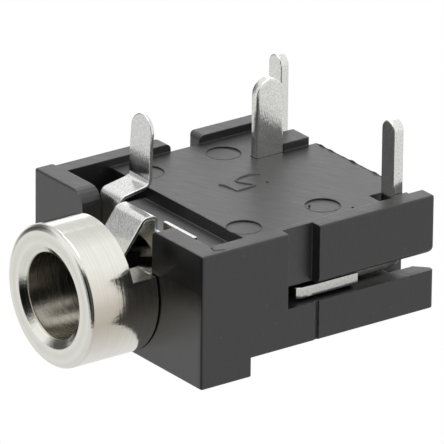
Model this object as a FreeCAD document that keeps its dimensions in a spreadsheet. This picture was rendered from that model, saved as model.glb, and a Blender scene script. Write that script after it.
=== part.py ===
import FreeCAD, Part
import os
import re
import Sketcher

# A 3.5 mm stereo jack socket for a circuit board, shown with its solder pins upwards.
# X runs across the socket, +Y runs into it, the way the plug goes, and +Z points to the board.
# The origin is on the axis of the plug hole, in the plane of the moulding's front face.
# The near side is +X and the far side is -X. All sizes are millimetres.

SIZES = {
    # plug hole and turned bushing
    "plug_hole_diameter": 3.6,
    "head_diameter": 6.0,
    "mouth_reach": 3.36,
    "head_edge_width": 0.26,
    "head_edge_length": 0.17,
    "countersink_width": 0.36,
    "countersink_depth": 0.22,
    "shank_diameter": 4.0,
    "cut_start": 1.2,
    "cut_height": 1.05,
    # outside of the moulding
    "front_width": 11.7,
    "far_inset": 0.2,
    "body_length": 11.66,
    "body_depth": 4.95,
    "board_height": 2.9,
    "foot_drop": 0.82,
    "foot_length": 2.46,
    "corner_radius": 0.12,
    "soft_radius": 0.08,
    "overcut": 0.1,
    # front wall
    "front_wall": 0.93,
    "opening_width": 4.84,
    "near_flare_radius": 0.25,
    "far_flare_radius": 0.65,
    "rear_web": 0.76,
    # board side: rails, recessed face, trench and well
    "near_rail_width": 0.77,
    "far_rail_width": 0.8,
    "recess_depth": 0.35,
    "recess_start": 3.1,
    "trench_depth": 0.9,
    "well_depth": 3.9,
    # notches and contact slots in the side walls
    "near_notch_length": 1.56,
    "near_notch_setback": 7.37,
    "near_notch_depth": 0.52,
    "far_notch_length": 1.44,
    "far_notch_setback": 5.51,
    "far_notch_radius": 0.25,
    "slot_height": 0.72,
    "slot_inner_edge": 1.5,
    "slot_end_radius": 0.3,
    "groove_width": 0.22,
    "groove_depth": 0.1,
    # upright pin slots, open to the rear
    "ring_slot_width": 1.4,
    "ring_slot_length": 1.73,
    "ring_web_width": 0.17,
    "ring_web_setback": 1.6,
    "ring_web_length": 0.84,
    "ring_web_drop": 0.8,
    "low_wall_bevel": 0.49,
    "tip_slot_width": 1.55,
    "tip_slot_length": 0.69,
    "pin_slot_drop": 1.3,
    "rib_edge": 2.2,
    "rear_step": 0.39,
    # ejector marks on the recessed face
    "ejector_diameter": 1.46,
    "ejector_depth": 0.04,
    "near_front_mark_across": 3.49,
    "near_front_mark_along": 3.78,
    "near_rear_mark_across": 3.42,
    "near_rear_mark_setback": 3.87,
    "far_front_mark_across": 3.58,
    "far_front_mark_along": 4.01,
    "far_rear_mark_across": 3.46,
    "far_rear_mark_setback": 3.83,
    # contacts in general
    "pin_height": 6.01,
    "bend_radius": 0.25,
    "tip_allowance": 0.02,
    "seat_clearance": 0.02,
    "contact_reach": 0.2,
    # sleeve terminal
    "sheet_thickness": 0.16,
    "sheet_bend_radius": 0.12,
    "plate_near_edge": 3.98,
    "plate_far_edge": 2.43,
    "plate_drop": 2.2,
    "shoulder_start": 1.85,
    "relief_height": 2.3,
    "ridge_near_edge": 1.25,
    "ridge_far_edge": 0.68,
    "ridge_height": 2.95,
    "ridge_front": 0.34,
    "tongue_run": 1.26,
    "tongue_fall": 1.83,
    "tab_width": 1.32,
    "tab_start_height": 2.93,
    "tab_end": 2.32,
    "tab_end_height": 3.23,
    "front_pin_lean": 0.264,
    "finger_inner_edge": 2.04,
    "finger_bend": 1.57,
    "finger_nose": 2.91,
    "finger_end": 3.2,
    "finger_height": 0.43,
    # ring spring on the near side
    "ring_thickness": 0.49,
    "ring_pin_offset": 0.35,
    "ring_pin_width": 0.85,
    "ring_pin_setback": 1.39,
    "ring_neck_inset": 0.9,
    "ring_wing_inset": 0.35,
    "ring_wing_lead": 0.64,
    "ring_wing_length": 3.12,
    "ring_root_setback": 0.77,
    "ring_rest_edge": 2.7,
    "ring_nose_lead": 1.31,
    # tip spring on the far side
    "tip_thickness": 0.4,
    "tip_pin_offset": 0.4,
    "tip_pin_width": 0.88,
    "tip_pin_setback": 0.35,
    "tip_neck_inset": 0.95,
    "tip_wing_inset": 0.35,
    "tip_wing_lead": 0.5,
    "tip_wing_length": 2.95,
    "tip_root_setback": 0.42,
    "tip_nose_lead": 1.35,
    # shape that both springs share
    "wing_width": 0.95,
    "wing_radius": 0.3,
    "arm_width": 0.5,
    "nose_length": 0.5,
    "nose_turn": 0.35,
    "ring_slope_length": 1.1,
    "tip_slope_length": 0.42,
    "ring_rest_length": 1.1,
    "shoulder_low": 0.7,
    "shoulder_high": 1.9,
    # switch blade beside the tip spring
    "switch_thickness": 0.43,
    "switch_gap": 0.02,
    "switch_edge": 2.15,
    "switch_setback": 3.1,
    "switch_width": 1.37,
    "switch_height": 5.93,
    "switch_drop": 0.6,
}

DOC = FreeCAD.newDocument("audio_jack_socket")
SHEET = DOC.addObject("Spreadsheet::Sheet", "Sizes")
for row, (word, millimetres) in enumerate(SIZES.items(), start=1):
    SHEET.set(f"A{row}", word)
    SHEET.set(f"B{row}", str(millimetres))
    SHEET.setAlias(f"B{row}", word)
DOC.recompute()

# Planes and edges that more than one piece uses, as formulas of the sheet's names.
HOLE = "plug_hole_diameter / 2"
NEAR_SIDE = "front_width / 2"
FAR_EAR = "-front_width / 2"
FAR_SIDE = "(-front_width / 2 + far_inset)"
NEAR_RAIL = "(front_width / 2 - near_rail_width)"
FAR_RAIL = "(-front_width / 2 + far_inset + far_rail_width)"
UNDERSIDE = "(board_height - body_depth)"
FOOT = "(board_height - body_depth - foot_drop)"
RECESS = "(board_height - recess_depth)"
FAR_REAR = "(body_length - rear_step)"
NEAR_NOTCH = "(body_length - near_notch_setback)"
FAR_NOTCH = "(body_length - far_notch_setback)"
RING_SLOT = "(front_width / 2 - near_rail_width - ring_slot_width)"
TIP_SLOT = "(front_width / 2 - far_inset - far_rail_width - tip_slot_width)"
SWITCH_FRONT = "(body_length - switch_setback)"
SWITCH_BACK = "(body_length - switch_setback + switch_width)"
BEYOND = "(body_length + overcut)"
PLATE_FRONT = "(front_wall + seat_clearance)"
PLATE_BACK = "(front_wall + seat_clearance + sheet_thickness)"
PLATE_SLOT_EDGE = "(-plate_far_edge - seat_clearance)"
NOSE = "(plug_hole_diameter / 2 - contact_reach)"
RING_NOSE = f"({NEAR_NOTCH} + ring_nose_lead)"
TIP_NOSE = f"({FAR_NOTCH} + tip_nose_lead)"

# Where the parts of each spring lie: distances across are from the axis, outwards to the spring's own side.
RING_SPRING = {
    "name": "ring",
    "sign": "",
    "thickness": "ring_thickness",
    "slot": RING_SLOT,
    "rail": NEAR_RAIL,
    "pin": f"({RING_SLOT} + ring_pin_offset)",
    "pin_width": "ring_pin_width",
    "pin_front": "(body_length - ring_pin_setback)",
    "root": "(body_length - ring_pin_setback - ring_root_setback)",
    "neck": f"({NEAR_SIDE} - ring_neck_inset)",
    "wing": f"({NEAR_SIDE} - ring_wing_inset)",
    "wing_front": f"({NEAR_NOTCH} + ring_wing_lead)",
    "wing_back": f"({NEAR_NOTCH} + ring_wing_lead + ring_wing_length)",
    "rest": "ring_rest_edge",
    "rest_front": f"({RING_NOSE} + nose_length + ring_slope_length)",
    "rest_back": f"({RING_NOSE} + nose_length + ring_slope_length + ring_rest_length)",
    "nose_front": RING_NOSE,
}
TIP_SPRING = {
    "name": "tip",
    "sign": "-",
    "thickness": "tip_thickness",
    "slot": TIP_SLOT,
    "rail": f"(-{FAR_RAIL})",
    "pin": f"({TIP_SLOT} + tip_pin_offset)",
    "pin_width": "tip_pin_width",
    "pin_front": f"({FAR_REAR} - tip_pin_setback)",
    "root": f"({FAR_REAR} - tip_pin_setback - tip_root_setback)",
    "neck": f"(-{FAR_SIDE} - tip_neck_inset)",
    "wing": f"(-{FAR_SIDE} - tip_wing_inset)",
    "wing_front": f"({FAR_NOTCH} + tip_wing_lead)",
    "wing_back": f"({FAR_NOTCH} + tip_wing_lead + tip_wing_length)",
    "rest": "(switch_edge + switch_thickness + switch_gap)",
    "rest_front": f"({TIP_NOSE} + nose_length + tip_slope_length)",
    "rest_back": SWITCH_BACK,
    "nose_front": TIP_NOSE,
}


def formula(text):
    """The text with each size's name led by the sheet's name."""
    return re.sub(r"[a-z_]+", lambda match: lead(match.group()), text)


def lead(word):
    """One word of a formula, led by the sheet's name where it is a size."""
    return f"Sizes.{word}" if word in SIZES else word


def number(text):
    """A formula's value in millimetres."""
    return float(SHEET.evalExpression(text))


def point(across, along, up):
    """A place in the frame, from three formulas."""
    return FreeCAD.Vector(number(across), number(along), number(up))


def new_body(name):
    """An empty body whose label names the piece."""
    body = DOC.addObject("PartDesign::Body", name)
    body.Label = name
    return body


def new_sketch(body, name, role, offset):
    """A sketch on one of the body's origin planes, moved along the plane's normal."""
    sketch = body.newObject("Sketcher::SketchObject", name)
    planes = [item for item in body.Origin.OriginFeatures if item.Role == role]
    sketch.AttachmentSupport = (planes[0], [""])
    sketch.MapMode = "FlatFace"
    sketch.setExpression("AttachmentOffset.Base.z", formula(offset))
    return sketch


def pin_point(sketch, line, end, first, second):
    """Ties one end of a line to two formulas, measured from the sketch's origin."""
    for kind, text in (("DistanceX", first), ("DistanceY", second)):
        index = sketch.addConstraint(Sketcher.Constraint(kind, -1, 1, line, end, number(text)))
        sketch.setExpression(f"Constraints[{index}]", formula(text))


def outline(body, name, role, offset, corners):
    """A closed outline of straight lines through corners that are pairs of formulas."""
    sketch = new_sketch(body, name, role, offset)
    places = [FreeCAD.Vector(number(first), number(second), 0) for first, second in corners]
    for start, end in zip(places, places[1:] + places[:1]):
        sketch.addGeometry(Part.LineSegment(start, end), False)
    count = len(corners)
    for line in range(count):
        sketch.addConstraint(Sketcher.Constraint("Coincident", line, 2, (line + 1) % count, 1))
    for line, (first, second) in enumerate(corners):
        pin_point(sketch, line, 1, first, second)
    return sketch


def rectangle(body, name, role, offset, low, high):
    """A rectangle between two opposite corners."""
    return outline(body, name, role, offset, [low, (high[0], low[1]), high, (low[0], high[1])])


def circle(body, name, role, offset, centre, diameter):
    """A circle of a given diameter round a centre."""
    sketch = new_sketch(body, name, role, offset)
    middle = FreeCAD.Vector(number(centre[0]), number(centre[1]), 0)
    round_line = Part.Circle(middle, FreeCAD.Vector(0, 0, 1), number(diameter) / 2)
    sketch.addGeometry(round_line, False)
    pin_point(sketch, 0, 3, centre[0], centre[1])
    index = sketch.addConstraint(Sketcher.Constraint("Diameter", 0, number(diameter)))
    sketch.setExpression(f"Constraints[{index}]", formula(diameter))
    return sketch


def grow(body, kind, name, sketch, length, turned):
    """A pad or a pocket of a sketch, checked by what it does to the volume."""
    DOC.recompute()
    before = 0 if body.Tip is None else body.Shape.Volume
    feature = body.newObject(f"PartDesign::{kind}", name)
    feature.Profile = sketch
    feature.Type = "Length"
    feature.setExpression("Length", formula(length))
    feature.Reversed = turned
    sketch.Visibility = False
    DOC.recompute()
    change = body.Shape.Volume - before
    if (change > 0) != (kind == "Pad") or abs(change) < 1e-6 or not body.Shape.isValid():
        raise RuntimeError(f"{name} changes the volume by {change:.4f}")
    return feature


def pad(body, name, sketch, length, turned=False):
    """Adds the sketch's outline over a length, along the plane's normal or turned against it."""
    return grow(body, "Pad", name, sketch, length, turned)


def pocket(body, name, sketch, length, turned=False):
    """Cuts the sketch's outline over a length, against the plane's normal or turned along it."""
    return grow(body, "Pocket", name, sketch, length, turned)


def round_edges(body, name, radius, middles):
    """Rounds the edges of the body whose middles lie nearest the given places."""
    DOC.recompute()
    base = body.Tip
    names = []
    for middle in middles:
        gaps = [(edge.CenterOfMass - middle).Length for edge in body.Shape.Edges]
        names.append(f"Edge{gaps.index(min(gaps)) + 1}")
    feature = body.newObject("PartDesign::Fillet", name)
    feature.Base = (base, names)
    feature.setExpression("Radius", formula(radius))
    DOC.recompute()
    if "Invalid" in feature.State or not body.Shape.isValid():
        raise RuntimeError(f"{name} can't be rounded")
    return feature


def add_block(body):
    """The main block with its foot, the ear at the far front edge, and soft outer edges."""
    side_view = [
        ("0", FOOT),
        ("foot_length", FOOT),
        ("foot_length", UNDERSIDE),
        ("body_length", UNDERSIDE),
        ("body_length", "board_height"),
        ("0", "board_height"),
    ]
    side = outline(body, "block_side", "YZ_Plane", FAR_SIDE, side_view)
    pad(body, "block", side, "front_width - far_inset")
    ear = rectangle(body, "ear_front", "XZ_Plane", "0", (FAR_EAR, FOOT), (FAR_SIDE, "board_height"))
    pad(body, "ear", ear, "front_wall", turned=True)
    step = rectangle(body, "rear_step_plan", "XY_Plane", "board_height",
                     (f"{FAR_SIDE} - overcut", FAR_REAR), ("-rib_edge", BEYOND))
    pocket(body, "rear_step_cut", step, "body_depth")
    half_front = f"({FOOT} + board_height) / 2"
    half_rear = f"({UNDERSIDE} + board_height) / 2"
    corners = [
        point(NEAR_SIDE, "0", half_front),
        point(FAR_EAR, "0", half_front),
        point(FAR_EAR, "front_wall", half_front),
        point(NEAR_SIDE, "body_length", half_rear),
        point(FAR_SIDE, FAR_REAR, half_rear),
    ]
    round_edges(body, "block_corners", "corner_radius", corners)
    long_edges = [
        point(NEAR_SIDE, "body_length / 2", "board_height"),
        point(FAR_SIDE, f"({FAR_REAR} + front_wall) / 2", "board_height"),
        point(NEAR_SIDE, "(body_length + foot_length) / 2", UNDERSIDE),
    ]
    round_edges(body, "long_edges", "soft_radius", long_edges)
    foot_edges = [point("0", "0", FOOT), point("0", "foot_length", FOOT)]
    round_edges(body, "foot_edges", "soft_radius", foot_edges)


def cut_bore(body):
    """The seat for the bushing's shank, the plug channel behind it, and room for the sleeve's finger."""
    seat = circle(body, "seat_circle", "XZ_Plane", "0", ("0", "0"), "shank_diameter + 2 * seat_clearance")
    pocket(body, "shank_seat", seat, "front_wall")
    channel = circle(body, "channel_circle", "XZ_Plane", "-front_wall", ("0", "0"), "plug_hole_diameter")
    pocket(body, "channel", channel, "body_length - rear_web - front_wall")
    finger = rectangle(body, "finger_slot_plan", "XY_Plane", "finger_height + seat_clearance",
                       ("-finger_inner_edge - sheet_thickness - seat_clearance",
                        f"{PLATE_BACK} - seat_clearance"),
                       (f"-{NOSE}", "finger_end + 2 * seat_clearance"))
    pocket(body, "finger_slot", finger, "finger_height + 2 * seat_clearance")


def flare(sign, radius):
    """Corners along a quarter circle where the opening's side turns out into the top face."""
    curve = []
    for degrees in (0, 18, 36, 54, 72, 90):
        across = f"{sign}(opening_width / 2 + {radius} * (1 - cos({degrees} deg)))"
        up = f"board_height - {radius} * (1 - sin({degrees} deg))"
        curve.append((across, up))
    return curve


def cut_front(body):
    """The opening through the front wall, and the trench and the well behind it."""
    near_curve = flare("", "near_flare_radius")
    far_curve = flare("-", "far_flare_radius")
    floor = [("-opening_width / 2", "cut_height"), ("opening_width / 2", "cut_height")]
    opening = outline(body, "opening_front", "XZ_Plane", "0", floor + near_curve + far_curve[::-1])
    pocket(body, "opening", opening, "front_wall")
    trench = rectangle(body, "trench_plan", "XY_Plane", "board_height",
                       (FAR_RAIL, "front_wall"), (NEAR_RAIL, "recess_start"))
    pocket(body, "trench", trench, "trench_depth")
    well = rectangle(body, "well_plan", "XY_Plane", "board_height",
                     (FAR_RAIL, "front_wall"), (PLATE_SLOT_EDGE, "recess_start"))
    pocket(body, "well", well, "well_depth")
    slot = rectangle(body, "plate_slot_plan", "XY_Plane", "board_height",
                     (PLATE_SLOT_EDGE, "front_wall"),
                     ("plate_near_edge + seat_clearance", f"{PLATE_BACK} + seat_clearance"))
    pocket(body, "plate_slot", slot, "board_height + plate_drop + seat_clearance")


def cut_board_side(body):
    """The recessed face between the rails, with the rib that stands on it and the ejector marks."""
    recess = rectangle(body, "recess_plan", "XY_Plane", "board_height",
                       (FAR_RAIL, "recess_start - overcut"), (NEAR_RAIL, BEYOND))
    pocket(body, "recess", recess, "recess_depth")
    rib = rectangle(body, "rib_plan", "XY_Plane", RECESS,
                    (f"-{TIP_SLOT}", f"{SWITCH_BACK} + 2 * seat_clearance"), ("-rib_edge", FAR_REAR))
    pad(body, "rib", rib, "recess_depth")
    centres = {
        "near_front_mark": ("near_front_mark_across", "near_front_mark_along"),
        "near_rear_mark": ("near_rear_mark_across", "body_length - near_rear_mark_setback"),
        "far_front_mark": ("-far_front_mark_across", "far_front_mark_along"),
        "far_rear_mark": ("-far_rear_mark_across", "body_length - far_rear_mark_setback"),
    }
    for name, centre in centres.items():
        mark = circle(body, f"{name}_circle", "XY_Plane", RECESS, centre, "ejector_diameter")
        pocket(body, name, mark, "ejector_depth")


def cut_sides(body):
    """The notches in both side walls, the contact slots at the level of the axis, and a groove."""
    drop = "board_height + slot_height / 2"
    near_notch_end = f"{NEAR_NOTCH} + near_notch_length"
    near = rectangle(body, "near_notch_plan", "XY_Plane", "board_height",
                     (f"{NEAR_SIDE} - near_notch_depth", NEAR_NOTCH),
                     (f"{NEAR_SIDE} + overcut", near_notch_end))
    pocket(body, "near_notch", near, drop)
    far = rectangle(body, "far_notch_plan", "XY_Plane", "board_height",
                    (f"{FAR_SIDE} - overcut", FAR_NOTCH), (FAR_RAIL, f"{FAR_NOTCH} + far_notch_length"))
    pocket(body, "far_notch", far, drop)
    near_slot = rectangle(body, "near_slot_plan", "XY_Plane", "slot_height / 2",
                          ("slot_inner_edge", NEAR_NOTCH), (f"{NEAR_SIDE} + overcut", BEYOND))
    pocket(body, "near_slot", near_slot, "slot_height")
    far_slot = rectangle(body, "far_slot_plan", "XY_Plane", "slot_height / 2",
                         (f"{FAR_SIDE} - overcut", FAR_NOTCH), ("-slot_inner_edge", BEYOND))
    pocket(body, "far_slot", far_slot, "slot_height")
    groove = rectangle(body, "groove_plan", "XY_Plane", UNDERSIDE,
                       (f"{NEAR_SIDE} - groove_depth", f"{near_notch_end} - groove_width"),
                       (f"{NEAR_SIDE} + overcut", near_notch_end))
    pocket(body, "groove", groove, f"-{UNDERSIDE}", turned=True)


def cut_pin_slots(body):
    """Upright slots, open to the rear, for the two springs, and a closed one for the switch blade.

    A small web on the near rail stands beside the ring spring's pin.
    """
    ring_start = "body_length - ring_slot_length"
    ring = rectangle(body, "ring_slot_plan", "XY_Plane", "board_height",
                     (RING_SLOT, ring_start), (NEAR_RAIL, BEYOND))
    pocket(body, "ring_slot", ring, "board_height + slot_height / 2")
    low_plan = [
        (RING_SLOT, ring_start),
        (NEAR_RAIL, ring_start),
        (NEAR_RAIL, "body_length - low_wall_bevel"),
        (f"{NEAR_RAIL} + low_wall_bevel", "body_length"),
        (f"{NEAR_RAIL} + low_wall_bevel", BEYOND),
        (RING_SLOT, BEYOND),
    ]
    low = outline(body, "ring_low_slot_plan", "XY_Plane", "-slot_height / 2", low_plan)
    pocket(body, "ring_low_slot", low, "pin_slot_drop - slot_height / 2")
    web = rectangle(body, "ring_web_plan", "XY_Plane", "board_height",
                    (f"{NEAR_RAIL} - ring_web_width", "body_length - ring_web_setback"),
                    (f"{NEAR_RAIL} + overcut", "body_length - ring_web_setback + ring_web_length"))
    pad(body, "ring_web", web, "ring_web_drop", turned=True)
    tip = rectangle(body, "tip_slot_plan", "XY_Plane", "board_height",
                    (FAR_RAIL, f"{FAR_REAR} - tip_slot_length"), (f"-{TIP_SLOT}", BEYOND))
    pocket(body, "tip_slot", tip, "board_height + pin_slot_drop")
    blade = rectangle(body, "switch_slot_plan", "XY_Plane", "board_height",
                      ("-switch_edge - switch_thickness - seat_clearance", f"{SWITCH_FRONT} - seat_clearance"),
                      ("-switch_edge + seat_clearance", f"{SWITCH_BACK} + seat_clearance"))
    pocket(body, "switch_slot", blade, "board_height + switch_drop + seat_clearance")


def round_wall_ends(body):
    """The rounded ends of the side walls beside the far notch and over the near slot."""
    middle = f"{FAR_SIDE} + far_rail_width / 2"
    ends = [point(middle, FAR_NOTCH, "board_height"),
            point(middle, f"{FAR_NOTCH} + far_notch_length", "board_height")]
    round_edges(body, "far_notch_ends", "far_notch_radius", ends)
    rear = point(f"{NEAR_SIDE} - near_rail_width / 2", "body_length", "slot_height / 2")
    round_edges(body, "slot_end", "slot_end_radius", [rear])


def make_housing():
    """The one-piece black moulding."""
    body = new_body("housing")
    add_block(body)
    cut_bore(body)
    cut_front(body)
    cut_board_side(body)
    cut_sides(body)
    cut_pin_slots(body)
    round_wall_ends(body)
    return body


def make_bushing():
    """Turned bushing: bevelled head with a countersunk mouth, cut level at the top of its rear."""
    body = new_body("bushing")
    mouth = "-mouth_reach"
    outer = "head_diameter / 2"
    half_view = [
        (f"{mouth} + countersink_depth", HOLE),
        (mouth, f"{HOLE} + countersink_width"),
        (mouth, f"{outer} - head_edge_width"),
        (f"{mouth} + head_edge_length", outer),
        ("-seat_clearance", outer),
        ("-seat_clearance", "shank_diameter / 2"),
        ("front_wall", "shank_diameter / 2"),
        ("front_wall", HOLE),
    ]
    sketch = outline(body, "bushing_half", "YZ_Plane", "0", half_view)
    DOC.recompute()
    ring = body.newObject("PartDesign::Revolution", "bushing_ring")
    ring.Profile = sketch
    ring.ReferenceAxis = (sketch, ["H_Axis"])
    ring.Angle = 360
    sketch.Visibility = False
    cut = rectangle(body, "cut_plan", "XY_Plane", "head_diameter / 2 + overcut",
                    ("-head_diameter / 2 - overcut", "-cut_start"),
                    ("head_diameter / 2 + overcut", "front_wall + overcut"))
    pocket(body, "level_cut", cut, "head_diameter / 2 + overcut - cut_height")
    return body


def make_sleeve_terminal():
    """Thin plate with the plug hole, a tongue folded to the plug, and a tab that ends in a pin."""
    body = new_body("sleeve_terminal")
    tab_edge = "-plate_far_edge + tab_width"
    front_view = [
        ("-plate_far_edge", "-plate_drop"),
        ("plate_near_edge", "-plate_drop"),
        ("plate_near_edge", "board_height"),
        ("shoulder_start", "board_height"),
        ("shoulder_start", "relief_height"),
        ("-plate_far_edge", "relief_height"),
    ]
    plate = outline(body, "plate_front", "XZ_Plane", f"-{PLATE_FRONT}", front_view)
    pad(body, "plate", plate, "sheet_thickness", turned=True)
    hole = circle(body, "plate_hole_circle", "XZ_Plane", f"-{PLATE_FRONT}", ("0", "0"), "plug_hole_diameter")
    pocket(body, "plate_hole", hole, "sheet_thickness")
    add_finger(body)
    add_tongue(body)
    add_tab(body, tab_edge)
    return body


def add_finger(body):
    """The finger that runs back from the plate on the far side and bulges into the plug channel."""
    inner = "-finger_inner_edge"
    outer = "-finger_inner_edge - sheet_thickness"
    plan = [
        (outer, f"{PLATE_BACK} - sheet_thickness / 2"),
        (inner, f"{PLATE_BACK} - sheet_thickness / 2"),
        (inner, "finger_bend"),
        (f"-{NOSE}", "finger_nose"),
        (f"-{NOSE} - sheet_thickness / 2", "finger_end"),
        (f"-{NOSE} - 3 * sheet_thickness / 2", "finger_end"),
        (f"-{NOSE} - sheet_thickness", "finger_nose"),
        (outer, "finger_bend"),
    ]
    finger = outline(body, "finger_plan", "XY_Plane", "0", plan)
    pad(body, "finger", finger, "finger_height")


def add_tongue(body):
    """The ridge over the plate's top edge and the tongue that runs down from it to the plug."""
    slope = "sqrt(tongue_run ^ 2 + tongue_fall ^ 2)"
    inner_front = f"ridge_front + sheet_thickness * ({slope} - tongue_run) / tongue_fall"
    tip_along = "ridge_front - tongue_run"
    tip_up = "ridge_height - tongue_fall"
    side_view = [
        (PLATE_FRONT, "relief_height - sheet_thickness"),
        (PLATE_BACK, "relief_height - sheet_thickness"),
        (PLATE_BACK, "ridge_height"),
        ("ridge_front", "ridge_height"),
        (tip_along, tip_up),
        (f"{tip_along} + sheet_thickness * tongue_fall / {slope}",
         f"{tip_up} - sheet_thickness * tongue_run / {slope}"),
        (inner_front, "ridge_height - sheet_thickness"),
        (PLATE_FRONT, "ridge_height - sheet_thickness"),
    ]
    tongue = outline(body, "tongue_side", "YZ_Plane", "-ridge_far_edge", side_view)
    pad(body, "tongue", tongue, "ridge_far_edge + ridge_near_edge")
    across = "(ridge_near_edge - ridge_far_edge) / 2"
    insides = [point(across, PLATE_FRONT, "ridge_height - sheet_thickness"),
               point(across, inner_front, "ridge_height - sheet_thickness")]
    round_edges(body, "ridge_insides", "sheet_bend_radius", insides)
    outsides = [point(across, PLATE_BACK, "ridge_height"), point(across, "ridge_front", "ridge_height")]
    round_edges(body, "ridge_outsides", "sheet_bend_radius + sheet_thickness", outsides)
    saddle = circle(body, "saddle_circle", "XZ_Plane", "cut_start", ("0", "0"), f"2 * {NOSE}")
    pocket(body, "saddle", saddle, "cut_start")


def add_tab(body, tab_edge):
    """The tab folded back from the plate's top edge and the wide pin that stands on its end."""
    rise = "(tab_end_height - tab_start_height)"
    lean_top = f"tab_end + front_pin_lean"
    heel = f"tab_end_height - sheet_thickness + sheet_thickness * {rise} / (tab_end - {PLATE_FRONT})"
    side_view = [
        (PLATE_FRONT, "relief_height - sheet_thickness"),
        (PLATE_BACK, "relief_height - sheet_thickness"),
        (PLATE_BACK, "tab_start_height - sheet_thickness"),
        ("tab_end + sheet_thickness", heel),
        (f"{lean_top} + sheet_thickness", "pin_height"),
        (lean_top, "pin_height"),
        ("tab_end", "tab_end_height"),
        (PLATE_FRONT, "tab_start_height"),
    ]
    tab = outline(body, "tab_side", "YZ_Plane", "-plate_far_edge", side_view)
    pad(body, "tab", tab, "tab_width")
    across = f"(-plate_far_edge + {tab_edge}) / 2"
    insides = [point(across, PLATE_BACK, "tab_start_height - sheet_thickness"),
               point(across, "tab_end", "tab_end_height")]
    round_edges(body, "tab_insides", "sheet_bend_radius", insides)
    outsides = [point(across, PLATE_FRONT, "tab_start_height"),
                point(across, "tab_end + sheet_thickness", heel)]
    round_edges(body, "tab_outsides", "sheet_bend_radius + sheet_thickness", outsides)
    top_along = f"{lean_top} + sheet_thickness / 2"
    tops = [point("-plate_far_edge", top_along, "pin_height"), point(tab_edge, top_along, "pin_height")]
    round_edges(body, "front_pin_top", "tab_width / 2 - tip_allowance", tops)


def make_spring(spring):
    """Stamped spring: upright pin, bend, neck, anchor wing, and the arm with its contact nose."""
    name, sign, pin, width = spring["name"], spring["sign"], spring["pin"], spring["pin_width"]
    body = new_body(f"{name}_spring_terminal")
    front = spring["pin_front"]
    thickness = spring["thickness"]
    back = f"{front} + {thickness}"
    half = f"{thickness} / 2"
    side_view = [
        (spring["root"], f"-{half}"),
        (back, f"-{half}"),
        (back, "pin_height"),
        (front, "pin_height"),
        (front, half),
        (spring["root"], half),
    ]
    low_edge = pin if sign == "" else f"-{pin} - {width}"
    side = outline(body, f"{name}_pin_side", "YZ_Plane", low_edge, side_view)
    pad(body, f"{name}_pin", side, width)
    middle = f"{sign}({pin} + {width} / 2)"
    round_edges(body, f"{name}_bend_inside", "bend_radius", [point(middle, front, half)])
    round_edges(body, f"{name}_bend_outside", f"bend_radius + {thickness}", [point(middle, back, f"-{half}")])
    top = f"{front} + {half}"
    tops = [point(f"{sign}{pin}", top, "pin_height"), point(f"{sign}({pin} + {width})", top, "pin_height")]
    round_edges(body, f"{name}_pin_top", f"{width} / 2 - tip_allowance", tops)
    shoulder = rectangle(body, f"{name}_shoulder_front", "XZ_Plane", f"-{front}",
                         (f"{sign}({spring['slot']} + seat_clearance)", "shoulder_low"),
                         (f"{sign}({spring['rail']} - seat_clearance)", "shoulder_high"))
    pad(body, f"{name}_shoulder", shoulder, thickness, turned=True)
    add_arm(body, spring)
    return body


def add_arm(body, spring):
    """The spring's level part, seen from above: neck, anchor wing, slit, arm and contact nose."""
    name, sign, rest = spring["name"], spring["sign"], spring["rest"]
    bend = f"{spring['pin_front']} - bend_radius"
    wing, wing_front, wing_back = spring["wing"], spring["wing_front"], spring["wing_back"]
    nose_front = spring["nose_front"]
    plan = [
        (spring["pin"], bend),
        (spring["neck"], bend),
        (spring["neck"], wing_back),
        (wing, wing_back),
        (wing, wing_front),
        (f"{wing} - wing_width", wing_front),
        (f"{wing} - wing_width", wing_back),
        (f"{rest} + arm_width", f"{spring['rest_back']} - arm_width / 2"),
        (f"{rest} + arm_width", f"{spring['rest_front']} - arm_width / 4"),
        (f"{NOSE} + arm_width", f"{nose_front} + nose_turn"),
        (f"{NOSE} + 2 * nose_turn", nose_front),
        (f"{NOSE} + nose_turn", f"{nose_front} - nose_turn"),
        (NOSE, nose_front),
        (NOSE, f"{nose_front} + nose_length"),
        (rest, spring["rest_front"]),
        (rest, spring["rest_back"]),
        (spring["pin"], spring["root"]),
    ]
    signed = [(f"{sign}({across})", along) for across, along in plan]
    level = outline(body, f"{name}_arm_plan", "XY_Plane", f"-{spring['thickness']} / 2", signed)
    pad(body, f"{name}_arm", level, spring["thickness"])
    corner = point(f"{sign}{wing}", wing_front, "0")
    round_edges(body, f"{name}_wing_corner", "wing_radius", [corner])


def make_switch_terminal():
    """A flat blade, arched at the top, pressed upright through the recessed face."""
    body = new_body("tip_switch_terminal")
    low = (SWITCH_FRONT, "-switch_drop")
    high = (SWITCH_BACK, "switch_height")
    face = rectangle(body, "switch_face", "YZ_Plane", "-switch_edge - switch_thickness", low, high)
    pad(body, "switch_blade", face, "switch_thickness")
    middle = "-switch_edge - switch_thickness / 2"
    tops = [point(middle, SWITCH_FRONT, "switch_height"), point(middle, SWITCH_BACK, "switch_height")]
    round_edges(body, "switch_arch", "switch_width / 2 - tip_allowance", tops)
    return body


def check_and_write(pieces):
    """Stops on any failed object or shape, then writes one file for each piece."""
    for item in DOC.Objects:
        if "Invalid" in item.State or "Error" in item.State:
            raise RuntimeError(f"{item.Label} is in state {item.State}")
    for piece in pieces:
        if piece.Shape.isNull() or not piece.Shape.isValid() or len(piece.Shape.Solids) != 1:
            raise RuntimeError(f"{piece.Label} has no single valid solid")
    os.makedirs("parts", exist_ok=True)
    for piece in pieces:
        piece.Shape.exportStep(f"parts/{piece.Label}.step")


PIECES = [
    make_housing(),
    make_bushing(),
    make_sleeve_terminal(),
    make_switch_terminal(),
    make_spring(TIP_SPRING),
    make_spring(RING_SPRING),
]
DOC.recompute()
check_and_write(PIECES)
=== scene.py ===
import bmesh
import bpy
import numpy as np
from mathutils import Matrix, Vector


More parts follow.
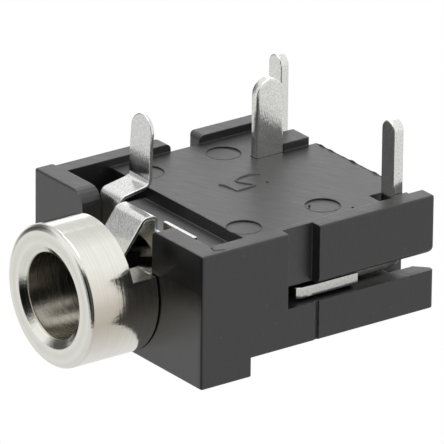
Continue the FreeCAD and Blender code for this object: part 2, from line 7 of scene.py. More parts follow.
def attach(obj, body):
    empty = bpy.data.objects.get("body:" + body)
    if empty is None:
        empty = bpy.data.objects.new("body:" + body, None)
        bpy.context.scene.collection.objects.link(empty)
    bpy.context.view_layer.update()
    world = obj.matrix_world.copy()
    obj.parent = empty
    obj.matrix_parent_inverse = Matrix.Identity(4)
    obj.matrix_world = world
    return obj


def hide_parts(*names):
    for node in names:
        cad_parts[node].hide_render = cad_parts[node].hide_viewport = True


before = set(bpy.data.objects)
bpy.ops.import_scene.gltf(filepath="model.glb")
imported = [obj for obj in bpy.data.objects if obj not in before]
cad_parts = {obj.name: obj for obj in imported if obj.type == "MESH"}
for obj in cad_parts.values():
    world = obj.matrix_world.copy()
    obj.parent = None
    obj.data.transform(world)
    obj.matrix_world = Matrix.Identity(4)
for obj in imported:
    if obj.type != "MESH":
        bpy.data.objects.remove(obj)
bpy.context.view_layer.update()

# Housing
# The body is one injection moulding of black nylon. It is satin, with a fine grain, pale flow
# lines and specks on the board side, and edges softened by the mould and by handling.
MM = 0.001


def new_material(name):
    """A node material: its nodes, links, surface shader and object coordinates in millimetres."""
    material = bpy.data.materials.new(name)
    material.use_nodes = True
    nodes, links = material.node_tree.nodes, material.node_tree.links
    places = nodes.new("ShaderNodeTexCoord")
    scaled = nodes.new("ShaderNodeMapping")
    scaled.inputs["Scale"].default_value = (1 / MM, 1 / MM, 1 / MM)
    links.new(places.outputs["Object"], scaled.inputs["Vector"])
    return material, nodes, links, nodes["Principled BSDF"], scaled.outputs["Vector"]


def noise(nodes, links, places, waves, detail, turn=(0, 0, 0)):
    """Noise over places in millimetres, turned and then stretched to some waves per millimetre."""
    mapping = nodes.new("ShaderNodeMapping")
    mapping.vector_type = "TEXTURE"
    mapping.inputs["Rotation"].default_value = turn
    mapping.inputs["Scale"].default_value = [1 / count for count in waves]
    links.new(places, mapping.inputs["Vector"])
    texture = nodes.new("ShaderNodeTexNoise")
    texture.inputs["Scale"].default_value = 1.0
    texture.inputs["Detail"].default_value = detail
    links.new(mapping.outputs["Vector"], texture.inputs["Vector"])
    return texture.outputs["Fac"]


def ranged(nodes, links, value, low, high, to_low, to_high):
    """A value carried from one range to another and held inside it."""
    node = nodes.new("ShaderNodeMapRange")
    for label, number in (("From Min", low), ("From Max", high), ("To Min", to_low), ("To Max", to_high)):
        node.inputs[label].default_value = number
    links.new(value, node.inputs["Value"])
    return node.outputs["Result"]


def blend(nodes, links, share, first, second):
    """A colour between two others: each is a socket or three numbers."""
    node = nodes.new("ShaderNodeMix")
    node.data_type = "RGBA"
    links.new(share, node.inputs["Factor"])
    for label, colour in (("A", first), ("B", second)):
        socket = [item for item in node.inputs if item.name == label and item.type == "RGBA"][0]
        if isinstance(colour, tuple):
            socket.default_value = (*colour, 1)
        else:
            links.new(colour, socket)
    return [item for item in node.outputs if item.type == "RGBA"][0]


def bump(nodes, links, height, depth, below=None):
    """A normal pushed in and out by a height, over another normal where one is given."""
    node = nodes.new("ShaderNodeBump")
    node.inputs["Distance"].default_value = depth * MM
    links.new(height, node.inputs["Height"])
    if below is not None:
        links.new(below, node.inputs["Normal"])
    return node.outputs["Normal"]


def combined(nodes, links, operation, *values):
    """The result of a calculation: each value is a socket or a number."""
    node = nodes.new("ShaderNodeMath")
    node.operation = operation
    for socket, value in zip(node.inputs, values):
        if isinstance(value, (int, float)):
            socket.default_value = value
        else:
            links.new(value, socket)
    return node.outputs[0]


def dot(nodes, links, first, second):
    """The dot product of a vector and another, which is a socket or three numbers."""
    node = nodes.new("ShaderNodeVectorMath")
    node.operation = "DOT_PRODUCT"
    links.new(first, node.inputs[0])
    if isinstance(second, tuple):
        node.inputs[1].default_value = second
    else:
        links.new(second, node.inputs[1])
    return node.outputs["Value"]


def split(nodes, links, vector):
    """A vector's parts, by their names X, Y and Z."""
    node = nodes.new("ShaderNodeSeparateXYZ")
    links.new(vector, node.inputs[0])
    return node.outputs


def within(nodes, links, parts, limits):
    """How far a place lies in some limits, each an axis with the places where the share is 0 and 1."""
    share = None
    for axis, outside, inside in limits:
        more = ranged(nodes, links, parts[axis], outside, inside, 0.0, 1.0)
        share = more if share is None else combined(nodes, links, "MULTIPLY", share, more)
    return share


def black_nylon(name, tone):
    """Satin black nylon of one tone, paler at its softened edges and speckled.

    The gloss depends on the place and is fitted to the photo: smoother on the front face, less
    reflecting on the near side and the near post's front, more reflecting on the trench's floor.
    """
    material, nodes, links, shader, places = new_material(name)
    soft = nodes.new("ShaderNodeBevel")
    soft.samples = 6
    soft.inputs["Radius"].default_value = 0.06 * MM
    flat = nodes.new("ShaderNodeNewGeometry")
    agree = dot(nodes, links, soft.outputs["Normal"], flat.outputs["Normal"])
    edge = ranged(nodes, links, agree, 0.995, 0.8, 0.0, 1.0)
    edge_patches = ranged(nodes, links, noise(nodes, links, places, (4, 4, 4), 4), 0.42, 0.7, 0.1, 1.0)
    cloud = noise(nodes, links, places, (0.9, 0.9, 0.9), 4)
    grain = noise(nodes, links, places, (16, 16, 16), 3)
    flow = noise(nodes, links, places, (0.8, 9, 2), 5, (0, 0, 0.45))
    specks = ranged(nodes, links, noise(nodes, links, places, (7, 7, 7), 1), 0.73, 0.8, 0.0, 0.35)
    darker, paler = [tuple(share * part for part in tone) for share in (0.8, 1.25)]
    body = blend(nodes, links, cloud, darker, paler)
    # The softened edges are drawn paler in patches.
    pale_edged = blend(nodes, links, combined(nodes, links, "MULTIPLY", edge, edge_patches), body, (0.2, 0.2, 0.2))
    links.new(blend(nodes, links, specks, pale_edged, (0.22, 0.22, 0.22)), shader.inputs["Base Color"])

    parts = split(nodes, links, places)
    satin = ranged(nodes, links, flow, 0.3, 0.7, 0.38, 0.48)
    smoother = ranged(nodes, links, parts["Y"], 0.02, 0.05, 0.55, 1.0)
    links.new(combined(nodes, links, "MULTIPLY", satin, smoother), shader.inputs["Roughness"])
    post_front = (("Y", 0.05, 0.02), ("X", 0.0, 1.5), ("Z", 0.2, 1.3))
    trench_floor = (("Y", 0.95, 0.97), ("X", -2.5, -2.4), ("X", 5.2, 5.1), ("Z", 2.03, 2.01), ("Z", 1.94, 1.96))
    level = ranged(nodes, links, parts["X"], 5.58, 5.62, 0.5, 0.42)
    for limits, factor in ((post_front, 0.15), (trench_floor, 2.0)):
        share = within(nodes, links, parts, limits)
        change = ranged(nodes, links, share, 0.0, 1.0, 1.0, factor)
        level = combined(nodes, links, "MULTIPLY", level, change)
    links.new(level, shader.inputs["Specular IOR Level"])
    shader.inputs["IOR"].default_value = 1.75
    streaked = bump(nodes, links, flow, 0.0035, soft.outputs["Normal"])
    links.new(bump(nodes, links, grain, 0.005, streaked), shader.inputs["Normal"])
    return material


nylon = black_nylon("black_nylon", (0.014, 0.014, 0.0155))
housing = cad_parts["housing"]
housing.data.materials.clear()
housing.data.materials.append(nylon)

# Mould digit
# A small 5 stands on the recessed face, cut by hand in the mould, so its strokes are uneven.
# It is a darker copy of the housing's nylon, painted shade for its steep sides, which face away from the light
# and look black.
def add_piece(name, places, faces, material, material_slot, node=None):
    """A mesh at the origin from places in millimetres: equal places are joined and faces turned outwards."""
    keys, merged = np.unique(np.round(places, 5) + 0.0, axis=0, return_inverse=True)
    merged = merged.reshape(-1)
    kept = []
    for face in faces:
        corners = [int(merged[index]) for index in face]
        corners = [corner for corner, before in zip(corners, corners[-1:] + corners[:-1]) if corner != before]
        if len(set(corners)) == len(corners) > 2:
            kept.append(corners)
    mesh = bpy.data.meshes.new(name)
    mesh.from_pydata((keys * MM).tolist(), [], kept)
    shells = bmesh.new()
    shells.from_mesh(mesh)
    bmesh.ops.recalc_face_normals(shells, faces=shells.faces[:])
    shells.to_mesh(mesh)
    shells.free()
    mesh.polygons.foreach_set("use_smooth", [True] * len(kept))
    mesh.set_sharp_from_angle(angle=np.radians(35))
    mesh.materials.append(material)
    piece = bpy.data.objects.new(name, mesh)
    bpy.context.scene.collection.objects.link(piece)
    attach(piece, "root")
    if node is not None:
        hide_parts(node)


def grid_faces(rows, columns, start, ring=True):
    """The four-sided faces of a grid of points, whose columns may close into a ring."""
    row, column = np.meshgrid(np.arange(rows - 1), np.arange(columns - (not ring)), indexing="ij")
    beside = (column + 1) % columns
    corners = (row * columns + column, row * columns + beside,
               (row + 1) * columns + beside, (row + 1) * columns + column)
    return (start + np.stack(corners, -1).reshape(-1, 4)).tolist()


def joined(*groups):
    """The places and faces of grids of points. A group is a rule for its grids' faces, and the grids."""
    places, faces = [], []
    for rule, grids in groups:
        for grid in grids:
            faces += rule(*grid.shape[:2], sum(len(part) for part in places))
            places.append(grid.reshape(-1, 3))
    return np.concatenate(places), faces


def stroke(places, half_width, height, floor):
    """A rounded ridge along a line of places, with narrow ends.

    S(s, a) = (C(s) + N(s) w(s) cos a, floor + h w(s) / w0 sin a), where C is the line and N its
    normal, and w falls from about w0, the half width, to 0 at both ends.
    """
    places = np.array(places, float)
    reach = np.concatenate(([0], np.cumsum(np.linalg.norm(np.diff(places, axis=0), axis=1))))
    steps = np.linspace(0, reach[-1], 40)
    centre = np.stack([np.interp(steps, reach, places[:, axis]) for axis in (0, 1)], -1)
    centre[1:-1] = (centre[:-2] + 2 * centre[1:-1] + centre[2:]) / 4
    ahead = np.gradient(centre, axis=0)
    ahead /= np.linalg.norm(ahead, axis=1, keepdims=True)
    side = np.stack([-ahead[:, 1], ahead[:, 0]], -1)
    turn = np.linspace(0, 2 * np.pi, 12, endpoint=False)
    end = np.clip(np.minimum(steps, reach[-1] - steps) / half_width, 0, 1)
    width = half_width * np.sqrt(1 - (1 - end) ** 2) * (1 + 0.2 * np.sin(5 * steps))
    flat = centre[:, None] + side[:, None] * (width[:, None] * np.cos(turn))[..., None]
    rise = floor + (height * np.sin(turn))[None] * (width / half_width)[:, None]
    return np.concatenate([flat, rise[..., None]], -1)


recessed_face = 2.55
digit_half_width, digit_height = 0.075, 0.05
digit_lines = [
    [(-0.78, 5.6), (-0.62, 5.78), (-0.2, 5.83), (0.2, 5.84), (0.18, 6.25), (0.14, 6.84), (-0.1, 6.74)],
    [(0.02, 6.8), (-0.1, 6.74), (-0.35, 6.58), (-0.53, 6.46), (-0.66, 6.42), (-0.78, 6.5), (-0.86, 6.68),
     (-0.91, 6.85), (-0.95, 7.1), (-0.96, 7.31), (-0.86, 7.5), (-0.72, 7.7)],
]
digit_strokes = [stroke(line, digit_half_width, digit_height, recessed_face) for line in digit_lines]
# The darker tone is painted shade; the flash, nibs, rims and scuff below are drawn in it too.
painted_shade_nylon = black_nylon("black_nylon_painted_shade", (0.006, 0.006, 0.007))
add_piece("mould_digit", *joined((grid_faces, digit_strokes)), painted_shade_nylon, "black_plastic")

# Flash, nibs and rims
# A ragged film of nylon stands along the rear edge of the recessed face, where the mould closes.
# Small nibs, dark rims that paint the shade in the ejector marks and a scuffed arc in front are, like the film,
# of the digit's darker nylon, whose darkness is painted shade.
def closed_faces(rows, columns, start):
    """The faces of a tube of rings, with one face over each end."""
    ends = [list(range(start, start + columns)),
            list(range(start + (rows - 1) * columns, start + rows * columns))]
    return grid_faces(rows, columns, start) + ends


# The film's height over the face is h(x) = 0.012 + 0.06 (sin 4.3x sin(1.7x + 1))^2.
film_across = np.linspace(-2.1, 3.55, 90)[:, None]
film_rise = 0.012 + 0.06 * np.abs(np.sin(4.3 * film_across) * np.sin(1.7 * film_across + 1)) ** 2
film_back, film_share = np.array([(11.6, 0.0), (11.61, 0.6), (11.63, 1.0),
                                  (11.65, 0.6), (11.655, 0.0), (11.63, -0.4)]).T
film = np.stack(np.broadcast_arrays(film_across, film_back, recessed_face + film_rise * film_share), -1)
add_piece("rear_flash", *joined((closed_faces, [film])), painted_shade_nylon, "black_plastic")

# Each nib is the ellipsoid (x + r cos b cos a, y + r cos b sin a, face + h sin b).
nib_height = 0.045
nib_turn = np.linspace(0, 2 * np.pi, 16, endpoint=False)[None]
nib_rise = np.linspace(-np.pi / 2, np.pi / 2, 9)[:, None]
nibs = [np.stack(np.broadcast_arrays(nib_x + nib_radius * np.cos(nib_rise) * np.cos(nib_turn),
                                     nib_y + nib_radius * np.cos(nib_rise) * np.sin(nib_turn),
                                     recessed_face + nib_height * np.sin(nib_rise)), -1)
        for nib_x, nib_y, nib_radius in ((0.10, 7.45, 0.07), (4.31, 8.65, 0.06), (3.16, 7.31, 0.05))]
add_piece("mould_dimples", *joined((grid_faces, nibs)), painted_shade_nylon, "black_plastic")

# Each rim is the ring ((R + t cos b) cos a, (R + t cos b) sin a, z + t sin b), t thicker on one side.
# The rims are painted shade: dark rings for the shaded walls of the hollow ejector marks, thickest on the side
# that lies in shade.
rim_radius, rim_centre, rim_thin, rim_swell, rim_shade_side = 0.73, 2.548, 0.013, 0.022, 2.3
rim_around = np.linspace(0, 2 * np.pi, 64, endpoint=False)[:, None]
rim_turn = np.linspace(0, 2 * np.pi, 8, endpoint=False)[None]
rim_thick = rim_thin + rim_swell * np.clip(np.cos(rim_around - rim_shade_side), 0, 1) ** 2
rim_reach = rim_radius + rim_thick * np.cos(rim_turn)
rims = []
for mark_x, mark_y in ((3.49, 3.78), (3.42, 7.79), (-3.58, 4.01), (-3.46, 7.83)):
    rim = np.stack([mark_x + rim_reach * np.cos(rim_around), mark_y + rim_reach * np.sin(rim_around),
                    rim_centre + rim_thick * np.sin(rim_turn)], -1)
    rims.append(np.concatenate((rim, rim[:1])))
scuff_half_width, scuff_height, scuff_floor = 0.05, 0.03, 2.895
scuff = stroke([(4.98, 1.15), (5.2, 0.95), (5.41, 0.87), (5.54, 1.04), (5.62, 1.33)],
               scuff_half_width, scuff_height, scuff_floor)
add_piece("ejector_shade_rims_and_scuff", *joined((grid_faces, [*rims, scuff])), painted_shade_nylon, "black_plastic")

# Bushing
# The bushing is turned from brass and nickel plated, almost a mirror, with fine rings from the
# tool on its mouth. Its shank goes into the front wall, and its rear is milled level on top.
def bright_nickel(name):
    """Turned nickel: a clear mirror with fine grooves round the axis, painted shade on the outer top and in the
    bore, and a warm painted reflection along the sides.
    """
    material, nodes, links, shader, places = new_material(name)
    parts = split(nodes, links, places)
    level = nodes.new("ShaderNodeCombineXYZ")
    links.new(parts["X"], level.inputs["X"])
    links.new(parts["Z"], level.inputs["Y"])
    length = nodes.new("ShaderNodeVectorMath")
    length.operation = "LENGTH"
    links.new(level.outputs[0], length.inputs[0])
    radius = length.outputs["Value"]
    ring = nodes.new("ShaderNodeCombineXYZ")
    links.new(radius, ring.inputs["X"])
    links.new(parts["Y"], ring.inputs["Y"])
    rings = noise(nodes, links, ring.outputs[0], (7, 7, 1), 6)
    cloud = noise(nodes, links, places, (1.2, 1.2, 1.2), 3)
    cloudy = blend(nodes, links, cloud, (0.78, 0.775, 0.71), (0.86, 0.855, 0.8))
    tint = blend(nodes, links, ranged(nodes, links, rings, 0.35, 0.6, 0.35, 0.0), cloudy, (0.62, 0.6, 0.53))

    outside = ranged(nodes, links, radius, 2.9, 2.98, 0, 0.75)
    height = combined(nodes, links, "ABSOLUTE", parts["Z"])
    # A warm darker band along the sides of the outer surface is a painted reflection.
    side_reflection = combined(nodes, links, "MULTIPLY", ranged(nodes, links, height, 1.9, 0.4, 0, 1), outside)
    # The top of the outer surface is painted darker: painted shade.
    top_shade = combined(nodes, links, "MULTIPLY", ranged(nodes, links, parts["Z"], 2.5, 2.9, 0, 0.85), outside)
    topped = blend(nodes, links, top_shade, tint, (0.5, 0.49, 0.45))
    side = blend(nodes, links, side_reflection, topped, (0.5, 0.44, 0.36))
    # The bore is painted darker: painted shade in the hollow.
    bore = ranged(nodes, links, radius, 1.86, 1.82, 0, 1)
    links.new(blend(nodes, links, bore, side, (0.5, 0.47, 0.4)), shader.inputs["Base Color"])
    shader.inputs["Metallic"].default_value = 1.0
    polish = ranged(nodes, links, rings, 0.3, 0.7, 0.08, 0.16)
    links.new(combined(nodes, links, "MULTIPLY_ADD", bore, 0.14, polish), shader.inputs["Roughness"])

    face = combined(nodes, links, "LESS_THAN", parts["Y"], -3.13)
    groove = nodes.new("ShaderNodeBump")
    links.new(ranged(nodes, links, face, 0, 1, 0.0028 * MM, 0.008 * MM), groove.inputs["Distance"])
    links.new(rings, groove.inputs["Height"])
    rolled = noise(nodes, links, places, (9, 2.5, 9), 3)
    links.new(bump(nodes, links, rolled, 0.004, groove.outputs["Normal"]), shader.inputs["Normal"])
    return material


def rounded(corners, setback, steps):
    """A line whose corners P turn as B(t) = (1-t)^2 A + 2t(1-t) P + t^2 C, with A and C a setback from P."""
    most_of_side, guard = 0.42, 0.15  # a guard point beside each turn keeps the flats' shading level
    corners = np.array(corners, float)
    share = np.linspace(0, 1, steps)[:, None]
    line = [corners[:1]]
    for before, here, after in zip(corners[:-2], corners[1:-1], corners[2:]):
        back, ahead = before - here, after - here
        reach = min(setback, most_of_side * np.linalg.norm(back), most_of_side * np.linalg.norm(ahead))
        first = here + back / np.linalg.norm(back) * reach
        last = here + ahead / np.linalg.norm(ahead) * reach
        turn = (1 - share) ** 2 * first + 2 * share * (1 - share) * here + share ** 2 * last
        line += [[first + (first - here) * guard], turn, [last + (last - here) * guard]]
    return np.concatenate([*line, corners[-1:]])


def revolve(profile, start, stop, count):
    """S(u, v) = (r sin a, y, r cos a), where a runs from start(r) to stop(r) as v runs from 0 to 1."""
    share = np.linspace(0, 1, count)[:, None]
    along, radius = profile[None, :, 0], profile[None, :, 1]
    angle = start + (stop - start) * share
    return np.stack([radius * np.sin(angle), along + 0 * angle, radius * np.cos(angle)], -1)


def open_faces(rows, columns, start):
    """The four-sided faces of a grid of points that doesn't close into a ring."""
    return grid_faces(rows, columns, start, ring=False)


def slab(plan, middle, thickness, edge):
    """A level plate with rounded edges: S(u, v) = (P(u) - N(u) i(v), middle + t(v)).

    P is its plan and N the plan's outward normal. The inset i and the height t turn a quarter
    circle of the radius edge at the top and at the bottom.
    """
    plan = np.array(plan, float)
    area = np.sum(plan[:, 0] * np.roll(plan[:, 1], -1) - plan[:, 1] * np.roll(plan[:, 0], -1))
    if area < 0:
        plan = plan[::-1]
    ahead = np.roll(plan, -1, 0) - plan
    ahead /= np.linalg.norm(ahead, axis=1, keepdims=True)
    out = np.stack([ahead[:, 1], -ahead[:, 0]], -1)
    before = np.roll(out, 1, 0)
    mitre = (out + before) / (1 + np.sum(out * before, 1, keepdims=True))
    quarter = np.linspace(0, np.pi / 2, 4)
    inset = edge * (1 - np.sin(quarter))
    height = 0.5 * thickness - edge * (1 - np.cos(quarter))
    inset, height = np.concatenate((inset, inset[::-1])), np.concatenate((height, -height[::-1]))
    flat = plan[None] - mitre[None] * inset[:, None, None]
    rise = middle + np.broadcast_to(height[:, None, None], flat.shape[:2] + (1,))
    return np.concatenate([flat, rise], -1)


# The milled cut at the height c opens the rear: its surfaces turn only from a = arccos(c / r).
bore_radius, head_radius, shank_radius = 1.8, 3.0, 2.0
cut_start, cut_height, shank_end = -1.2, 1.05, 0.93
round_steps, cut_steps = 121, 49
head_profile = rounded([(cut_start, bore_radius), (-3.14, bore_radius), (-3.36, 2.16), (-3.36, 2.74),
                        (-3.305, 2.89), (-3.19, head_radius), (cut_start, head_radius)], 0.05, 5)
rear_profile = rounded([(cut_start, head_radius), (-0.05, head_radius), (-0.05, shank_radius),
                        (shank_end, shank_radius), (shank_end, bore_radius), (cut_start, bore_radius)], 0.03, 4)
head_open = np.arccos(cut_height / head_profile[:, 1])[None]
rear_open = np.arccos(cut_height / rear_profile[:, 1])[None]
step_profile, step_open = rear_profile[[-1, 0]], rear_open[:, [-1, 0]]
turned_faces = (revolve(head_profile, head_open, 2 * np.pi - head_open, round_steps),
                revolve(head_profile, -head_open, head_open, cut_steps),
                revolve(rear_profile, rear_open, 2 * np.pi - rear_open, round_steps),
                revolve(step_profile, -step_open, step_open, cut_steps))
ledge_inside, ledge_outside, ledge_front, ledge_middle, ledge_thickness = 1.46, 2.4, -0.1, 1.055, 0.03
ledges = [slab([(hand * ledge_inside, ledge_front), (hand * ledge_outside, ledge_front),
                (hand * ledge_outside, shank_end), (hand * ledge_inside, shank_end)],
               ledge_middle, ledge_thickness, 0.01) for hand in (-1, 1)]
bushing_places, bushing_faces = joined((open_faces, turned_faces), (closed_faces, ledges))
cut_rim = (round_steps + cut_steps) * len(head_profile) + np.arange(len(rear_profile))
bushing_faces += [cut_rim[::-1].tolist(), (cut_rim + (round_steps - 1) * len(rear_profile)).tolist()]
add_piece("turned_bushing", bushing_places, bushing_faces, bright_nickel("turned_nickel"), "turned_nickel",
          "bushing")

# Sleeve terminal
# It is stamped from thin plated brass. A plate with a hole for the plug stands in a slot of the
# housing, a tongue folds over and down to the plug, and a tab folds up into the wide front pin.
def stamped_nickel(name, dark, light, lower_shade):
    """Stamped and plated metal: satin, with a fine grain, faint cloudy stains and painted shade on its lower
    part, which sits down in the housing.
    """
    material, nodes, links, shader, places = new_material(name)
    grain = noise(nodes, links, places, (15, 15, 6), 3)
    cloud = noise(nodes, links, places, (1.5, 1.5, 1.0), 4)
    speck = noise(nodes, links, places, (11, 11, 11), 2)
    mottle = noise(nodes, links, places, (17, 17, 17), 1)
    cloudy = blend(nodes, links, cloud, dark, light)
    tint = blend(nodes, links, ranged(nodes, links, mottle, 0.3, 0.65, 0.45, 0.0), cloudy, (0.4, 0.4, 0.42))
    stained = blend(nodes, links, ranged(nodes, links, speck, 0.62, 0.8, 0.0, 0.4), tint, (0.38, 0.38, 0.36))
    # Below 1.2 mm up the colour turns darker: painted shade where the metal sits down in the housing.
    inside = ranged(nodes, links, split(nodes, links, places)["Z"], 1.2, 0.8, 0.0, lower_shade)
    links.new(blend(nodes, links, inside, stained, (0.3, 0.3, 0.28)), shader.inputs["Base Color"])
    shader.inputs["Metallic"].default_value = 1.0
    links.new(ranged(nodes, links, cloud, 0.3, 0.7, 0.13, 0.23), shader.inputs["Roughness"])
    links.new(bump(nodes, links, grain, 0.005), shader.inputs["Normal"])
    return material


def blade(corners, bend, low, high, thickness, edge, arched=True):
    """A strip with rounded edges, carried along a path in a plane from x = low to x = high.

    S(u, s) = C(s) + N(s) t(u) in the plane, and x = m + k(u) (h - i(u)) across it, where C is the
    path and N its normal, m and h are the strip's middle and half width, and i, t and k are the
    section's inset, height and side. An arched end turns this about its centre s0:
    s = s0 + (h - i) sin a, x = m + k (h - i) cos a.
    """
    line = rounded(corners, bend, 9)
    reach = np.concatenate(([0], np.cumsum(np.linalg.norm(np.diff(line, axis=0), axis=1))))
    ahead = np.gradient(line, reach, axis=0)
    ahead /= np.linalg.norm(ahead, axis=1, keepdims=True)
    side = np.stack([-ahead[:, 1], ahead[:, 0]], -1)
    quarter = np.linspace(0, np.pi / 2, 5)
    inset = np.concatenate(([2 * edge], edge * (1 - np.sin(quarter))))
    height = np.concatenate(([0.5 * thickness], 0.5 * thickness - edge * (1 - np.cos(quarter))))
    inset, height = np.concatenate((inset, inset[::-1])), np.concatenate((height, -height[::-1]))
    hand = np.concatenate((np.ones(len(inset)), -np.ones(len(inset))))
    inset, height = np.concatenate((inset, inset[::-1])), np.concatenate((height, height[::-1]))
    middle, half = (low + high) / 2, (high - low) / 2
    end = reach[-1] - (half if arched else 0)
    gone = np.concatenate((reach[reach < end - 1e-6], [end]))[:, None] + 0 * inset[None]
    across = middle + hand * (half - inset) + 0 * gone
    if arched:
        turn = np.linspace(0, np.pi / 2, 15)[1:, None]
        gone = np.concatenate((gone, end + (half - inset) * np.sin(turn)))
        across = np.concatenate((across, middle + hand * (half - inset) * np.cos(turn)))
    first, second = [np.interp(gone, reach, line[:, axis]) + height * np.interp(gone, reach, side[:, axis])
                     for axis in (0, 1)]
    return np.stack([across, first, second], -1)


sheet_thickness, plate_front, plate_top, plate_near = 0.16, 0.95, 2.3, 3.98
plate_middle = plate_front + sheet_thickness / 2
tab = blade([(plate_middle, plate_top), (plate_middle, 2.85), (2.47, 3.11), (2.5, 4.4), (2.6, 6.0)], 0.3,
            -2.55, -1.13, sheet_thickness, 0.035)
shoulder = blade([(plate_middle, plate_top), (plate_middle, 2.9)], 0.1, 1.85, plate_near, sheet_thickness,
                 0.03, arched=False)

# The tongue's end is hollow: what is under z = sqrt(R^2 - x^2) moves up to it along the tongue.
fold_end, tongue_end, hollow_radius = (0.48, 2.87), (-0.86, 1.1), 1.62
tongue = blade([(1.04, plate_top), (1.04, 2.76), (0.92, 2.87), fold_end, tongue_end], 0.16,
               -0.68, 1.25, sheet_thickness, 0.035, arched=False)
hollow = np.sqrt(np.clip(hollow_radius ** 2 - tongue[..., 0] ** 2, 0, None))
tongue_lift = np.where((tongue[..., 2] < hollow) & (tongue[..., 1] < 0.3), hollow - tongue[..., 2], 0)
tongue[..., 2] += tongue_lift
tongue[..., 1] += tongue_lift * (fold_end[0] - tongue_end[0]) / (fold_end[1] - tongue_end[1])

# The plate lies between the hole (r sin a, r cos a) and the rectangle (R(a) sin a, R(a) cos a), where
# R(a) = 1 / max(sin a / near, -sin a / far, cos a / top, -cos a / low).
plate_far, plate_low, plate_columns = 2.43, 2.2, 96
angle = np.linspace(0, 2 * np.pi, plate_columns, endpoint=False)
hole = bore_radius * np.stack([np.sin(angle), np.cos(angle)])
span = 1 / np.maximum.reduce([np.sin(angle) / plate_near, -np.sin(angle) / plate_far,
                              np.cos(angle) / plate_top, -np.cos(angle) / plate_low])
outline = span * np.stack([np.sin(angle), np.cos(angle)])
plate_back = plate_front + sheet_thickness
plate_lines = ((hole, plate_front), (outline, plate_front), (outline, plate_back), (hole, plate_back),
               (hole, plate_front))
plate = np.stack([np.stack([x, np.full(plate_columns, y), z], -1) for (x, z), y in plate_lines])

# The finger is a slab that leans outwards and back with its height.
finger = slab([(-2.2, 1.0), (-2.1, 1.0), (-2.1, 2.1), (-1.5, 2.93), (-1.6, 3.15), (-1.7, 3.15), (-2.2, 2.4)],
              0.0, 0.42, 0.03)
finger_lean = 0.41 * finger[..., 2]
finger[..., 0] -= 0.81 * finger_lean
finger[..., 1] += 0.59 * finger_lean
sheet = stamped_nickel("stamped_sheet", (0.72, 0.72, 0.7), (0.86, 0.86, 0.84), 0.0)
add_piece("sleeve_strip", *joined((closed_faces, (tab, tongue, shoulder, finger)), (grid_faces, [plate])),
          sheet, "stamped_nickel", "sleeve_terminal")

# Switch terminal
# The switch terminal is a flat blade stamped from thicker plated brass, with coined edges and an
# arched top. It is pressed upright through the recessed face beside the tip spring.
switch_x, switch_front, switch_rear = -2.365, 8.56, 9.93
brass = stamped_nickel("stamped_brass", (0.76, 0.76, 0.72), (0.9, 0.9, 0.865), 0.5)
switch = blade([(switch_x, -0.6), (switch_x, 1.5), (switch_x, 4.0), (switch_x, 5.93)], 0.1,
               switch_front, switch_rear, 0.43, 0.07)[..., [1, 0, 2]]
add_piece("switch_blade", *joined((closed_faces, [switch])), brass, "stamped_nickel", "tip_switch_terminal")

# Spring terminals
# The ring spring on the near side and the tip spring on the far side are each stamped and bent from
# one strip of plated brass. The upright pin turns into a level spring with an anchor wing, an arm
# and a contact nose.
pin_top = 6.01


def add_spring(name, node, plan, pin_low, pin_high, pin_middle, root, thickness, shoulder_low, shoulder_high):
    """One spring: the pin's blade, the shoulder across it that holds it in the slot, and the level plan."""
    pin = blade([(root, 0.0), (pin_middle, 0.0), (pin_middle, 3.0), (pin_middle, pin_top)], 0.38,
                pin_low, pin_high, thickness, 0.05)
    wide = blade([(pin_middle, 0.7), (pin_middle, 1.9)], 0.1,
                 shoulder_low, shoulder_high, 0.94 * thickness, 0.05, arched=False)
    level = slab(plan, 0.0, thickness, 0.045)
    add_piece(name, *joined((closed_faces, (pin, wide, level))), brass, "stamped_nickel", node)


ring_plan = [(4.03, 10.02), (4.95, 10.02), (4.95, 8.05), (5.5, 8.05), (5.5, 5.23), (5.41, 5.02), (5.2, 4.93),
             (4.55, 4.93), (4.55, 8.05), (3.2, 8.05), (3.2, 7.08), (2.1, 5.95), (2.3, 5.6), (1.95, 5.25),
             (1.6, 5.6), (1.6, 6.1), (2.7, 7.2), (2.7, 8.3), (4.03, 9.5)]
tip_plan = [(-3.7, 10.67), (-4.7, 10.67), (-4.7, 9.6), (-5.3, 9.6), (-5.3, 6.95), (-5.21, 6.74), (-5.0, 6.65),
            (-4.35, 6.65), (-4.35, 9.6), (-3.1, 9.68), (-3.1, 8.3), (-2.1, 7.85), (-2.3, 7.5), (-1.95, 7.15),
            (-1.6, 7.5), (-1.6, 8.0), (-2.6, 8.42), (-2.6, 9.93), (-3.7, 10.5)]
add_spring("ring_spring", "ring_spring_terminal", ring_plan, 4.03, 4.88, 10.515, 9.5, 0.49, 3.7, 5.06)
add_spring("tip_spring", "tip_spring_terminal", tip_plan, -4.58, -3.7, 11.12, 10.5, 0.4, -4.83, -3.32)

# Floor
# The socket lies on white paper, which touches the bushing's lowest line. The camera sees the
# paper as plain white, so it fades into the background, and it throws light up at the socket.
floor_size, floor_level = 0.6, -3.0 * MM
floor_mesh = bpy.data.meshes.new("floor")
floor_mesh.from_pydata([(-floor_size, -floor_size, floor_level), (floor_size, -floor_size, floor_level),
                        (floor_size, floor_size, floor_level), (-floor_size, floor_size, floor_level)],
                       [], [(0, 1, 2, 3)])
floor = bpy.data.objects.new("floor", floor_mesh)
bpy.context.scene.collection.objects.link(floor)
paper, paper_nodes, paper_links, paper_shader, paper_places = new_material("white_paper")
paper_shader.inputs["Roughness"].default_value = 0.9
paper_fibre = noise(paper_nodes, paper_links, paper_places, (2, 2, 2), 3)
paper_links.new(blend(paper_nodes, paper_links, paper_fibre, (0.86, 0.86, 0.86), (0.9, 0.9, 0.9)),
                paper_shader.inputs["Base Color"])
paper_glow = paper_nodes.new("ShaderNodeEmission")
paper_mix = paper_nodes.new("ShaderNodeMixShader")
paper_path = paper_nodes.new("ShaderNodeLightPath").outputs
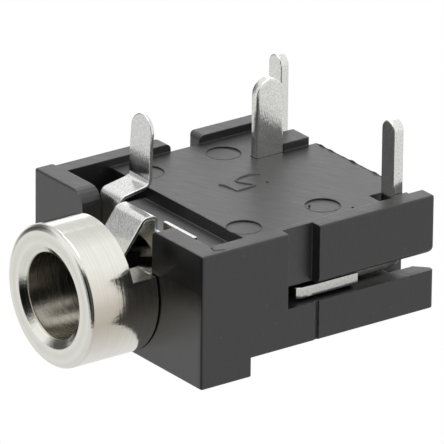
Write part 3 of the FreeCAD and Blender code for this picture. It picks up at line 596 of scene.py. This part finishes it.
paper_seen = combined(paper_nodes, paper_links, "MAXIMUM",
                      paper_path["Is Camera Ray"], paper_path["Is Glossy Ray"])
for source, socket in zip((paper_seen, paper_shader.outputs[0], paper_glow.outputs[0]), paper_mix.inputs):
    paper_links.new(source, socket)
paper_links.new(paper_mix.outputs[0], paper_nodes["Material Output"].inputs[0])
floor_mesh.materials.append(paper)
floor.visible_glossy = False

# World and lamps
# A white surround that the metal mirrors, dimmer from below and in three directions, and three
# soft boxes above and behind that light the board side and leave the front dim.
world = bpy.data.worlds.new("studio")
bpy.context.scene.world = world
world.use_nodes = True
world_nodes, world_links = world.node_tree.nodes, world.node_tree.links
surround = world_nodes["Background"]
surround.inputs["Color"].default_value = (1, 1, 1, 1)
world_path = world_nodes.new("ShaderNodeLightPath").outputs
world_way = world_nodes.new("ShaderNodeTexCoord").outputs["Generated"]
world_up = split(world_nodes, world_links, world_way)["Z"]
world_light = ranged(world_nodes, world_links, world_up, -0.5, 0.1, 0.8, 1.04)
for dim_way, dim_start, dim_end, dim_level in (((-0.93, -0.33, 0.13), 0.86, 0.97, 0.1),
                                               ((0.1, -0.985, -0.02), 0.86, 0.96, 0.05),
                                               ((0.53, -0.848, 0.0), 0.8, 0.89, 0.1)):
    dim_near = dot(world_nodes, world_links, world_way, dim_way)
    dim_share = ranged(world_nodes, world_links, dim_near, dim_start, dim_end, 1.0, dim_level)
    world_light = combined(world_nodes, world_links, "MULTIPLY", world_light, dim_share)
world_mix = world_nodes.new("ShaderNodeMix")
world_mix.data_type = "FLOAT"
world_mix.inputs["A"].default_value = 0.2
world_links.new(world_path["Is Glossy Ray"], world_mix.inputs["Factor"])
world_links.new(world_light, world_mix.inputs["B"])
world_level = combined(world_nodes, world_links, "MAXIMUM", world_mix.outputs["Result"],
                       world_path["Is Camera Ray"])
world_links.new(world_level, surround.inputs["Strength"])


def soft_box(name, place, size, watts):
    """A round lamp that faces the middle of the socket."""
    lamp = bpy.data.lights.new(name, "AREA")
    lamp.shape, lamp.size, lamp.energy = "DISK", size, watts
    holder = bpy.data.objects.new(name, lamp)
    holder.location = place
    holder.rotation_euler = (Vector((0, 0.004, 0)) - Vector(place)).to_track_quat("-Z", "Y").to_euler()
    bpy.context.scene.collection.objects.link(holder)


soft_box("top_box", (-0.02, 0.0, 0.3), 0.25, 0.25)
soft_box("rear_box", (-0.26, 0.224, 0.065), 0.12, 0.045)
soft_box("high_box", (-0.198, 0.137, 0.254), 0.09, 0.035)

# Camera
# The camera looks down from the front and the near side, from far away, as in the photo. It was
# solved from the photo, so that the render lies over it edge on edge.
camera_around, camera_above, camera_roll = np.radians([53.7144, 22.2996, 0.5874])
camera_distance, camera_right, camera_up = 322.58, 1.0153, 1.0606
backward = np.array((np.sin(camera_around) * np.cos(camera_above),
                     -np.cos(camera_around) * np.cos(camera_above), np.sin(camera_above)))
level_right = np.array((np.cos(camera_around), np.sin(camera_around), 0))
level_up = np.cross(backward, level_right)
right = np.cos(camera_roll) * level_right + np.sin(camera_roll) * level_up
up = -np.sin(camera_roll) * level_right + np.cos(camera_roll) * level_up
camera_data = bpy.data.cameras.new("camera")
camera_data.lens, camera_data.sensor_width = 642.5, 36
camera_data.clip_start, camera_data.clip_end = 0.01, 5
camera = bpy.data.objects.new("camera", camera_data)
camera_place = MM * (np.array((0, 4, 0.4)) + camera_right * right + camera_up * up + camera_distance * backward)
camera.matrix_world = Matrix.Translation(camera_place) @ Matrix((right, up, backward)).transposed().to_4x4()
bpy.context.scene.collection.objects.link(camera)
bpy.context.scene.camera = camera
bpy.context.scene.view_settings.view_transform = "Standard"
